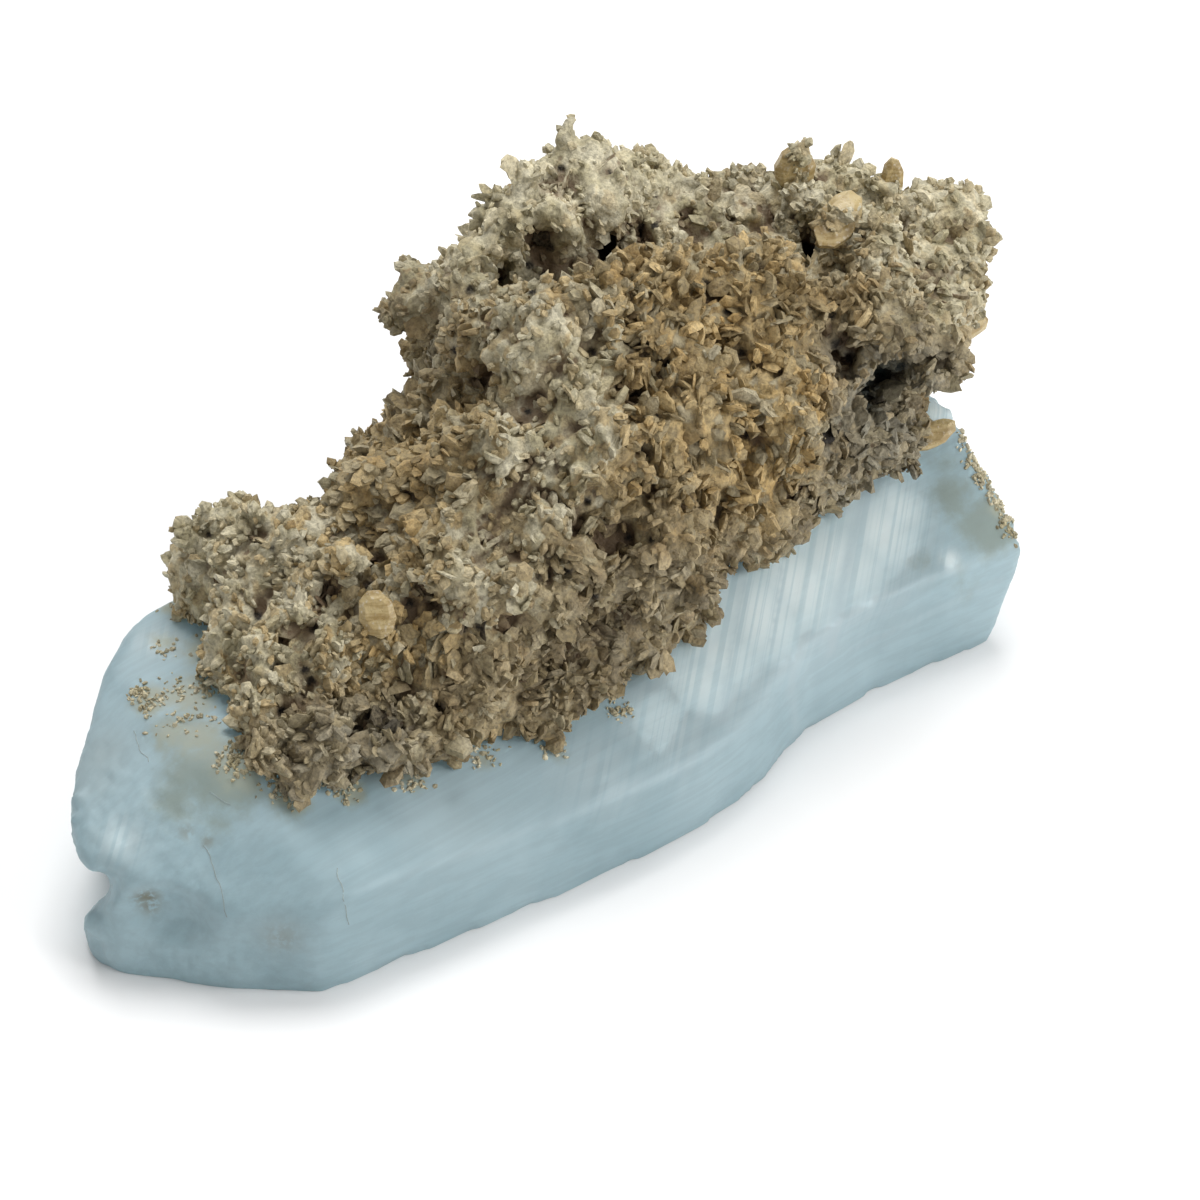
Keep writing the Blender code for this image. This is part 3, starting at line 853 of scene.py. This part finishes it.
def shiftOutline(points):
    camera = bpy.context.scene.camera
    turn = camera.rotation_euler.to_matrix()
    right, up = np.array(turn.col[0]), np.array(turn.col[1])
    half = cameraSet["photoWidth"] / 2
    scale = cameraSet["sensor"] / cameraSet["lens"] / cameraSet["photoWidth"]
    fromEye = points - np.array(camera.location)
    deep = -(fromEye @ np.array(turn.col[2]))
    across, down = fromEye @ right, -(fromEye @ up)
    moved = points.copy()
    for x, y, radius, toRight, toFoot in outlineShifts:
        away = np.hypot(across - (x - half) * scale * deep, down - (y - half) * scale * deep) / (radius * mm)
        share = np.exp(-0.9 * away * away)[:, None]
        moved += share * (toRight * right - toFoot * up) * mm
    return moved


def makeCrustBody(dice):  # the crust's own lumps, creases and holes, before any crystal is set on it
    body = mergedCopy("blade_crust", "crustBody")
    remesh(body, crustSet["bodyVoxel"] * mm)
    relax(body, 3)
    mesh = body.data
    setPoints(mesh, shiftOutline(pointsOf(mesh)))
    seeds, ways = scatterOn(mesh, crustSet["clusters"], dice)
    lobes, _ = scatterOn(mesh, crustSet["lobes"], dice)
    points = pointsOf(mesh)
    push = -crustSet["sink"] - crustSet["creaseDepth"] * creaseAt(points, seeds, crustSet["creaseWidth"])
    push += 0.6 - crustSet["lobeDepth"] * creaseAt(points, lobes, crustSet["lobeWidth"])
    surface = surfaceOf(body)
    for x, y, radius, depth in crustHoles:
        push -= 1.3 * depth * hillAt(points, seenAt((x, y), surface), 1.25 * radius)
    for x, y, radius, height in crustLumps:
        push += height * hillAt(points, seenAt((x, y), surface), radius)
    for line, width, depth in crustCreases:
        push -= depth * trackAt(points, surface, line, width)
    setPoints(mesh, points + normalsOf(mesh) * push[:, None] * mm)
    print("crust body", len(points), "points")
    return body, seeds, ways, surface


def lensShape(rim, belly, point):  # one lens shaped crystal lying along X, modelled once and copied
    deselectAll()
    bpy.ops.mesh.primitive_uv_sphere_add(segments=rim, ring_count=2, radius=0.5)
    lens = bpy.context.object
    startEdit()
    bpy.ops.transform.resize(value=(1, 1, belly))
    endEdit()
    points = pointsOf(lens.data)
    points[points[:, 0] > 0.4, 0] += point
    triangles = trianglesOf(lens.data)
    bpy.data.objects.remove(lens)
    return points, triangles


def nearestOf(places, points):
    tree = treeOf(places)
    return np.array([tree.find(point)[1] for point in points])


def crystalWays(spots, outward, ground, wild):  # the way each crystal points, its width and its flat side
    dice, seeds, ways = ground["dice"], ground["seeds"], ground["ways"]
    owner = nearestOf(seeds, spots)
    lean = unit(ways + 0.45 * dice.normal(size=ways.shape))
    root = seeds[owner] - lean[owner] * crustSet["fanRoot"] * mm
    share = crustSet["fanShare"]
    fan = unit(share * unit(spots - root) + (1 - share) * outward + wild * dice.normal(size=spots.shape))
    book = unit(dice.normal(size=ways.shape))[owner] + 0.4 * dice.normal(size=spots.shape)
    flank = hill(spots, *flankZone)[:, None]
    sideways = outward * np.array([1, 1, 0.2]) + np.array([0, 0, -0.25])
    fan = unit(fan * (1 - flank) + unit(sideways) * flank + 0.12 * dice.normal(size=spots.shape))
    book = unit(unit(book) * (1 - flank) + np.array([0.1, -0.2, 1.2]) * flank)
    across = unit(np.cross(book, fan))
    return fan, across, np.cross(fan, across)


def crystalPoints(shape, spots, sizes, axes, dice):
    corners, triangles = shape
    local = corners[None] * (1 + 0.2 * dice.normal(size=(len(spots), len(corners), 1)).clip(-1.6, 1.6))
    local = local * sizes[:, None, :]
    world = spots[:, None, :] + sum(local[..., side : side + 1] * axes[side][:, None] for side in range(3))
    faces = triangles[None] + (np.arange(len(spots)) * len(corners))[:, None, None]
    return world.reshape(-1, 3), faces.reshape(-1, 3)


def meshObject(name, points, faces):
    mesh = bpy.data.meshes.new(name)
    mesh.from_pydata(points.tolist(), [], faces.tolist())
    return newObject(name, mesh)


def clearOfSlab(spots, slabTree, least):
    away = np.array([slabTree.find_nearest(Vector(spot))[3] for spot in spots])
    return away > least * mm


def coloursAt(points, ground):
    bleach, rust, grime = tintsAt(points)
    holeShadow, teal = holesAt(points, ground["mouths"]), tealAt(points, ground["mouths"])
    return {"bleach": bleach, "rust": rust, "grime": grime, "holeShadow": holeShadow, "teal": teal}


def makeGrains(body, ground):  # every crystal that is fused into the crust
    dice = ground["dice"]
    spots, outward = scatterOn(body.data, crustSet["grains"], dice)
    keep = clearOfSlab(spots, ground["slab"], 0.5) & (holesAt(spots, ground["mouths"]) < 0.4)
    spots, outward = spots[keep], outward[keep]
    bleach, _, grime = tintsAt(spots)
    plain, paler, shadier, vary = bladeSet["fused"]
    length = (plain - paler * bleach - shadier * grime) * mm * dice.lognormal(0, vary, len(spots))
    width = length * dice.uniform(*bladeSet["width"], len(spots))
    thick = np.maximum(length * (0.3 + 0.22 * bleach), bladeSet["leastThick"] * mm)
    sizes = np.stack([length, width, thick / bladeSet["fusedBelly"]], 1)
    return spots, sizes, crystalWays(spots, outward, ground, 0.22)


flakeZones = (  # where loose edged flakes stand out of the crust: pixel, radius in mm and share of the flakes
    (640, 300, 9, 1.0), (700, 340, 10, 1.0), (600, 380, 8, 0.8), (760, 330, 8, 1.0), (680, 420, 9, 0.8),
    (830, 400, 8, 0.8), (870, 430, 8, 1.0), (390, 440, 9, 1.2), (360, 490, 7, 1.2), (420, 540, 6, 0.8),
    (400, 680, 8, 1.0), (500, 680, 9, 0.8), (560, 640, 8, 0.7), (600, 720, 8, 0.5), (760, 540, 9, 0.5),
    (330, 590, 5, 0.6), (720, 480, 9, 0.5), (450, 640, 6, 0.8),
)


def makeBlades(name, shape, spots, outward, length, flatness, out, ground):
    dice = ground["dice"]
    axes = crystalWays(spots, outward, ground, 0.25)
    width = length * dice.uniform(*bladeSet["width"], len(spots))
    sizes = np.stack([length, width, length * flatness], 1)
    rise = np.minimum(reliefAt(spots, ground), 0.6)
    spots = spots + axes[0] * length[:, None] * out
    piece = meshObject(name, *crystalPoints(shape, spots, sizes, axes, dice))
    each = len(shape[0])
    columns = {key: np.repeat(column, each) for key, column in coloursAt(spots, ground).items()}
    # painted shade: each blade darker at its root and where it sits in a hollow
    columns["rise"] = np.tile(shape[0][:, 0], len(spots)) * 1.3 + 0.35 + np.repeat(rise, each)
    columns["chance"] = np.repeat(dice.random(len(spots)), each)
    setValues(piece.data, **columns)
    finishPiece(piece, ground["material"])


def makeFlakes(body, ground):
    surface = surfaceOf(body)
    dice = ground["dice"]
    spots, outward = scatterOn(body.data, crustSet["flakes"] * 6, dice)
    wish = np.full(len(spots), 0.06)
    for x, y, radius, share in flakeZones:
        wish = np.maximum(wish, share * hillAt(spots, seenAt((x, y), surface), radius))
    keep = dice.random(len(spots)) < wish * 0.9
    keep &= clearOfSlab(spots, ground["slab"], 1.2) & (holesAt(spots, ground["mouths"]) < 0.3)
    spots, outward = spots[keep][: crustSet["flakes"]], outward[keep][: crustSet["flakes"]]
    length = dice.uniform(*bladeSet["flake"], len(spots)) * mm
    makeBlades("looseFlakes", lensShape(10, 0.3, 0.08), spots, outward, length, 0.5, 0.35, ground)


def makeSmallBlades(name, mesh, number, shape, ground):  # crisp small blades over one piece of the crust
    dice = ground["dice"]
    spots, outward = scatterOn(mesh, number, dice)
    keep = clearOfSlab(spots, ground["slab"], 0.4) & (holesAt(spots, ground["mouths"]) < 0.35)
    bleach = tintsAt(spots)[0]
    keep &= dice.random(len(spots)) < 0.85 - 0.35 * bleach + 0.9 * wavesAt(spots, 5 * mm, 9)
    spots, outward = spots[keep], outward[keep]
    bleach, _, grime = tintsAt(spots)
    plain, paler, shadier, vary = bladeSet["loose"]
    length = (plain - paler * bleach - shadier * grime) * dice.lognormal(0, vary, len(spots)) * mm
    makeBlades(name, shape, spots, outward, length, 0.6 + 0.4 * bleach, 0.15, ground)


def reliefAt(points, ground):  # how far each point stands out of the smoothed crust, in mm, which sets the painted shade
    rise = np.empty(len(points))
    for index, point in enumerate(points):
        place, way, _, away = ground["envelope"].find_nearest(Vector(point))
        rise[index] = math.copysign(away, (Vector(point) - place).dot(way))
        if ground["slab"].find_nearest(Vector(point))[3] < 5 * mm:
            rise[index] = max(rise[index], -0.3 * mm)
    return rise / mm


def cutBetween(thing, low, high):
    makeActive(thing)
    for side, place in ((1, low), (-1, high)):
        startEdit()
        bpy.ops.mesh.bisect(plane_co=at(place, 0, 0), plane_no=(side, 0, 0), use_fill=True, clear_inner=True)
        endEdit()


def joinInto(target, other):
    makeActive(target)
    other.select_set(True)
    bpy.ops.object.join()


def makeCrust(slabSurface):
    dice = np.random.default_rng(crustSet["seed"])
    body, seeds, ways, mouths = makeCrustBody(dice)
    smoothBody = duplicate(body, "smoothBody")
    remesh(smoothBody, crustSet["envelopeVoxel"] * mm)
    relax(smoothBody, 5)
    material = crustMaterial("tanGypsum")
    ground = {"dice": dice, "seeds": seeds, "ways": ways, "mouths": mouths, "slab": slabSurface,
              "envelope": surfaceOf(smoothBody), "material": material}
    spots, sizes, axes = makeGrains(body, ground)
    grainShape, bladeShape = lensShape(8, bladeSet["fusedBelly"], 0.12), lensShape(6, 0.5, 0.1)
    chance = dice.random(len(spots))
    along = (spots[:, 0] - corner.x) / mm
    for name, low, high, blades in crustPieces:
        piece = duplicate(body, f"crust{name}")
        cutBetween(piece, low, high)
        mine = (along >= low) & (along < high)
        ownAxes = [axis[mine] for axis in axes]
        crystals = meshObject("crystals", *crystalPoints(grainShape, spots[mine], sizes[mine], ownAxes, dice))
        joinInto(piece, crystals)
        remesh(piece, crustSet["skinVoxel"] * mm)
        mesh = piece.data
        points = pointsOf(mesh)
        rough = dice.normal(size=len(points)) * crustSet["jitter"]
        for size, height in crustSet["rough"]:
            rough = rough + wavesAt(points, size * mm, 4) * height
        points = points + normalsOf(mesh) * rough[:, None] * mm
        setPoints(mesh, points)
        ownChance = chance[mine][nearestOf(spots[mine], points)]
        setValues(mesh, rise=reliefAt(points, ground), chance=ownChance, **coloursAt(points, ground))
        makeActive(piece)
        bpy.ops.object.shade_smooth()
        finishPiece(piece, material, ["blade_crust"])
        makeSmallBlades(f"blades{name}", mesh, blades, bladeShape, ground)
    makeFlakes(body, ground)
    bpy.data.objects.remove(smoothBody)
    bpy.data.objects.remove(body)
    return material


# Honey-coloured single crystals that stand out of the crust

amberSet = {
    "colour": (0.34, 0.23, 0.08),
    "tip": (0.55, 0.43, 0.21),
    "crumb": (0.66, 0.60, 0.47),
    "grainScale": 1300.0,
    "bump": (0.0003, 0.6),
    "transmission": 0.25,
    "ior": 1.52,
    "stretch": 1.06,
    "wobble": 0.25,
    "wobbleSize": 2.2,
}
# Centre and size in mm, long axis and the way the flat face looks
amberCrystals = (
    ((27.9, 22.2, 43.3), (7.0, 5.2, 1.9), (0.1, 0.6, 0.8), (-0.5, -0.7, 0.6)),
    ((127.0, 47.5, 65.5), (7.6, 6.2, 3.6), (0.3, 0.1, 1.0), (-0.5, -0.85, 0.2)),
    ((122.0, 31.0, 67.5), (11.0, 6.0, 2.0), (0.9, 0.4, 0.3), (-0.3, -0.3, 1.0)),
    ((138.0, 37.0, 65.0), (7.0, 3.4, 1.8), (0.1, 0.1, 1.0), (-0.6, -0.8, 0.1)),
    ((138.0, 19.5, 47.0), (10.0, 4.6, 2.6), (1.0, -0.1, -0.25), (-0.2, -0.9, 0.5)),
    ((127.0, 13.0, 34.5), (8.5, 3.8, 1.7), (1.0, -0.2, 0.2), (-0.2, -0.6, 0.8)),
)


def amberMaterial():
    material, tree, shader = newMaterial("amberGypsum")
    bands = cloud(tree, objectPlace(tree, scale=(0.004, 0.004, 0.0007)), 1.0, 3.0, 0.6)
    grain = cloud(tree, objectPlace(tree), amberSet["grainScale"], 4.0, 0.6)
    colour = mixed(tree, spread(tree, bands, 0.35, 0.65), amberSet["colour"], amberSet["tip"])
    colour = mixed(tree, spread(tree, grain, 0.55, 0.75), colour, amberSet["crumb"])
    tree.links.new(colour, shader.inputs["Base Color"])
    tree.links.new(spread(tree, grain, 0.3, 0.7, 0.25, 0.6), shader.inputs["Roughness"])
    bumped(tree, shader, grain, *amberSet["bump"])
    shader.inputs["Transmission Weight"].default_value = amberSet["transmission"]
    shader.inputs["IOR"].default_value = amberSet["ior"]
    return material


def modelCrystal():  # one flat crystal, with a lower flat face on either side and worn edges
    deselectAll()
    bpy.ops.mesh.primitive_cylinder_add(vertices=9, radius=0.5, depth=0.35, end_fill_type="NGON")
    crystal = bpy.context.object
    startEdit("FACE", "DESELECT")
    endEdit()
    for face in crystal.data.polygons:
        face.select = abs(face.normal.z) > 0.9
    bpy.ops.object.mode_set(mode="EDIT")
    bpy.ops.mesh.inset(thickness=0.16, depth=0.3, use_individual=True)
    bpy.ops.mesh.select_all(action="SELECT")
    bpy.ops.mesh.bevel(offset=0.02, segments=2)
    bpy.ops.mesh.subdivide(number_cuts=1)
    endEdit()
    return crystal


def makeAmber():
    model = modelCrystal()
    material = amberMaterial()
    for number, (centre, size, longAxis, faceWay) in enumerate(amberCrystals):
        longAxis = Vector(longAxis).normalized()
        across = Vector(faceWay).cross(longAxis).normalized()
        flat = longAxis.cross(across)
        piece = duplicate(model, f"amberCrystal{number + 1}")
        points = pointsOf(piece.data)
        local = points * np.array(size) * amberSet["stretch"] * mm
        world = np.array(at(*centre)) + local @ np.array([longAxis, across, flat])
        wobble = wavesAt(world, amberSet["wobbleSize"] * mm, 3 + number)[:, None]
        world += wobble * amberSet["wobble"] * mm
        setPoints(piece.data, world)
        finishPiece(piece, material)
    bpy.data.objects.remove(model)


# Grains left on the slab's left shoulder, along the crust's foot and on the right rim

grainSet = {
    "tries": 160000,
    "most": 3600,
    "length": (0.45, 1.3),
    "lean": 0.7,
    "seed": 31,
    "rust": 0.1,
    # a little painted shade on the grains
    "grime": 0.1,
}
# Pixel, radius in mm and share of the grains
grainMarks = (
    (150, 700, 3.2, 0.9), (140, 690, 2.0, 1.0), (165, 650, 2.5, 0.5), (190, 720, 5.0, 0.6),
    (205, 690, 4.0, 0.8), (180, 610, 3.5, 0.6), (215, 650, 4.0, 0.8), (235, 760, 4.0, 0.9),
    (285, 785, 4.0, 0.9), (340, 785, 3.5, 0.9), (410, 775, 3.5, 0.8), (480, 750, 3.5, 0.8),
    (550, 745, 2.5, 1.0), (620, 710, 2.5, 0.9), (180, 690, 4.0, 0.6), (953, 402, 1.8, 1.3),
    (960, 422, 1.8, 1.3), (965, 442, 1.8, 1.4), (973, 462, 1.8, 1.4), (981, 478, 1.8, 1.4),
    (990, 492, 1.8, 1.4), (999, 506, 1.8, 1.3), (1006, 520, 1.8, 1.3), (1011, 534, 1.6, 1.1),
)


def makeSlabGrains(slab, surface, material):
    dice = np.random.default_rng(grainSet["seed"])
    spots, outward = scatterOn(slab.data, grainSet["tries"], dice)
    keep = dice.random(len(spots)) < markedAt(spots, surface, grainMarks) ** 2
    spots, outward = spots[keep][: grainSet["most"]], outward[keep][: grainSet["most"]]
    fan = unit(outward + grainSet["lean"] * dice.normal(size=spots.shape))
    across = unit(np.cross(fan, dice.normal(size=spots.shape)))
    flat = np.cross(fan, across)
    length = dice.uniform(*grainSet["length"], len(spots)) * mm
    sizes = np.stack([length, length * dice.uniform(0.6, 1.0, len(spots)), length * 1.1], 1)
    shape = lensShape(6, 0.4, 0.05)
    piece = meshObject("slabGrains", *crystalPoints(shape, spots, sizes, (fan, across, flat), dice))
    each = len(shape[0])
    chance = np.repeat(dice.random(len(spots)), each)
    fromRoot = np.tile(shape[0][:, 0], len(spots))
    steady = np.ones(len(chance))
    rust, grime = grainSet["rust"] * steady, grainSet["grime"] * steady
    # painted shade: each grain darker at its root
    setValues(piece.data, bleach=steady, rust=rust, grime=grime, rise=fromRoot + 0.5, chance=chance)
    finishPiece(piece, material)


# Stage and light

stageSet = {
    "floor": (0.88, 0.88, 0.88),
    "floorSize": 8,
    "floorGap": 0.2,
    "roughness": 0.9,
    "world": 0.5,
    "lightSize": 0.8,
    "lights": (("keyLight", (0.3, 0.45, 1.2), 15.0), ("fillLight", (0.6, -0.9, 0.5), 10.0)),
}


def makeStage():
    deselectAll()
    height = floorLevel - stageSet["floorGap"] * mm
    bpy.ops.mesh.primitive_plane_add(size=stageSet["floorSize"], location=(0, 0, height))
    floor = bpy.context.object
    floor.name = "floor"
    material, tree, shader = newMaterial("paleFloor")
    shader.inputs["Base Color"].default_value = (*stageSet["floor"], 1.0)
    shader.inputs["Roughness"].default_value = stageSet["roughness"]
    floor.data.materials.append(material)
    world = bpy.data.worlds.new("softRoom")
    bpy.context.scene.world = world
    world.use_nodes = True
    background = world.node_tree.nodes["Background"]
    background.inputs["Color"].default_value = (1, 1, 1, 1)
    background.inputs["Strength"].default_value = stageSet["world"]
    for name, place, power in stageSet["lights"]:
        data = bpy.data.lights.new(name, "AREA")
        data.energy = power
        data.size = stageSet["lightSize"]
        light = newObject(name, data)
        light.location = place
        light.rotation_euler = (-Vector(place)).to_track_quat("-Z", "Y").to_euler()
    bpy.context.scene.view_settings.view_transform = "Standard"
    print("stage ready")


makeCamera()
slab, slabSurface = makeSlab()
makeVeils(slab, slabSurface)
makeCracks(slabSurface)
crustFinish = makeCrust(slabSurface)
makeAmber()
makeSlabGrains(slab, slabSurface, crustFinish)
makeStage()
